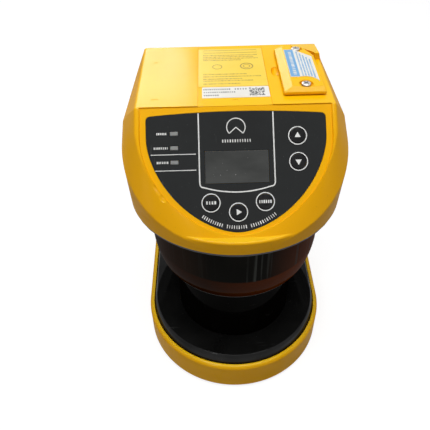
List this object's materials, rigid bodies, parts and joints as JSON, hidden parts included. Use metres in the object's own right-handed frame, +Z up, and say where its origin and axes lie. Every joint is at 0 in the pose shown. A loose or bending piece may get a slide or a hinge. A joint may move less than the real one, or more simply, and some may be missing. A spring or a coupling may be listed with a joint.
{
  "type": "safety laser scanner",
  "caption": "Floor-height safety laser scanner: head with sloping key panel over a dark ring window, on a neck in a dished base.",
  "frame": {"origin": "on the scan axis, at the underside of the base", "axes": "+Z up along the scan axis, -Y towards the front with the display panel, +X to the right seen from the front"},
  "size_m": [0.1348, 0.1485, 0.1933],
  "materials": {
    "yellow_paint": "satin yellow enamel",
    "film_black": "printed polyester film, semi gloss",
    "screen_glass": "smoked clear plastic",
    "module_glass": "dark glass",
    "lamp_lens": "milky light guide, unlit",
    "key_black": "moulded, satin",
    "circuit_board": "solder mask",
    "moulded_black": "moulded",
    "bright_steel": "zinc plated",
    "label_yellow": "satin foil label, bare",
    "label_white": "satin foil label, bare",
    "seal_rubber": "moulded seal",
    "cast_black": "black powder coat",
    "window_red": "infrared-passing tinted plastic, dark red",
    "gloss_black": "polished black",
    "connector_nickel": "nickel plated",
    "lens_glass": "coated lens",
    "laser_brass": "turned brass",
    "machined_aluminium": "machined",
    "rotor_steel": "blackened",
    "mirror_glass": "front-surface mirror"
  },
  "bodies": {
    "scanner_case": {"head_housing": "yellow_paint", "display_film": "film_black", "screen_window": "screen_glass", "screen_module": "module_glass", "indicator_lenses": "lamp_lens", "display_board": "circuit_board", "key_switches": "moulded_black", "display_board_screws": "bright_steel", "rating_label": "label_yellow", "serial_label": "label_white", "connector_cover": "yellow_paint", "cover_gasket": "seal_rubber", "cover_screws": "bright_steel", "cover_washers": "bright_steel", "cover_label": "label_white", "service_connector": "moulded_black", "head_frame": "cast_black", "head_seal": "seal_rubber", "head_screws": "bright_steel", "column_screws": "bright_steel", "main_board": "circuit_board", "board_screws": "bright_steel", "power_board": "circuit_board", "lower_standoffs": "bright_steel", "upper_standoffs": "bright_steel", "scan_window": "window_red", "window_upper_seal": "seal_rubber", "window_lower_seal": "seal_rubber", "neck_tube": "gloss_black", "dish_plate": "gloss_black", "base_tray": "yellow_paint", "bottom_plate": "cast_black", "base_screws": "bright_steel", "rear_housing": "cast_black", "cable_connector": "connector_nickel", "lens_tube": "cast_black", "receiver_lens": "lens_glass", "laser_spider": "cast_black", "laser_module": "laser_brass", "detector_board": "circuit_board", "lens_tube_screws": "bright_steel", "motor_plate": "machined_aluminium", "motor_stator": "machined_aluminium", "motor_screws": "bright_steel", "upper_bearing": "bright_steel", "lower_bearing": "bright_steel", "encoder_sensor": "moulded_black"},
    "mirror_rotor": {"spindle": "bright_steel", "motor_rotor": "rotor_steel", "encoder_disc": "bright_steel", "mirror_carrier": "machined_aluminium", "scan_mirror": "mirror_glass"},
    "key_up_cap": {"key_up": "key_black"},
    "key_down_cap": {"key_down": "key_black"},
    "key_escape_cap": {"key_escape": "key_black"},
    "key_next_cap": {"key_next": "key_black"},
    "key_enter_cap": {"key_enter": "key_black"}
  },
  "joints": [
    {"name": "mirror_spin", "type": "hinge", "parent": "scanner_case", "child": "mirror_rotor", "pos_m": [0, 0, 0.102], "axis": [0, 0, 1], "continuous": true},
    {"name": "key_up_press", "type": "slide", "parent": "scanner_case", "child": "key_up_cap", "axis": [0, 0.6717, -0.7408], "range_m": [0, 0.0005], "stiffness_N_per_m": 1500, "springref_m": -0.0008},
    {"name": "key_down_press", "type": "slide", "parent": "scanner_case", "child": "key_down_cap", "axis": [0, 0.6717, -0.7408], "range_m": [0, 0.0005], "stiffness_N_per_m": 1500, "springref_m": -0.0008},
    {"name": "key_escape_press", "type": "slide", "parent": "scanner_case", "child": "key_escape_cap", "axis": [0, 0.6717, -0.7408], "range_m": [0, 0.0005], "stiffness_N_per_m": 1500, "springref_m": -0.0008},
    {"name": "key_next_press", "type": "slide", "parent": "scanner_case", "child": "key_next_cap", "axis": [0, 0.6717, -0.7408], "range_m": [0, 0.0005], "stiffness_N_per_m": 1500, "springref_m": -0.0008},
    {"name": "key_enter_press", "type": "slide", "parent": "scanner_case", "child": "key_enter_cap", "axis": [0, 0.6717, -0.7408], "range_m": [0, 0.0005], "stiffness_N_per_m": 1500, "springref_m": -0.0008}
  ]
}
